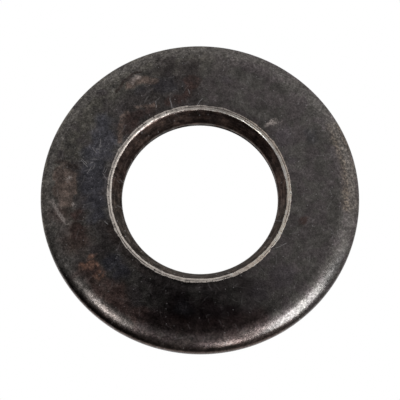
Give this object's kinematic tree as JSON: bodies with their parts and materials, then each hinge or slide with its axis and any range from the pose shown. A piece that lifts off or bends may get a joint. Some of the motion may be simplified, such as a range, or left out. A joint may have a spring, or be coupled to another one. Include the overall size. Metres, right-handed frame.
{
  "type": "conical spring washer",
  "caption": "Dished spring washer in blackened steel, with a rolled outer shoulder and a countersunk bore, that keeps tension in a bolted joint.",
  "frame": {"origin": "on the bore axis, in the plane that the rim seats on", "axes": "+Z along the bore axis, from the hollow side to the crown"},
  "size_m": [0.035, 0.035, 0.0031],
  "materials": {
    "blackened_steel": "oil-blackened and mottled brown, rubbed grey on the shoulder and bare on the crown"
  },
  "bodies": {
    "root": {"conical_washer": "blackened_steel"}
  },
  "joints": []
}
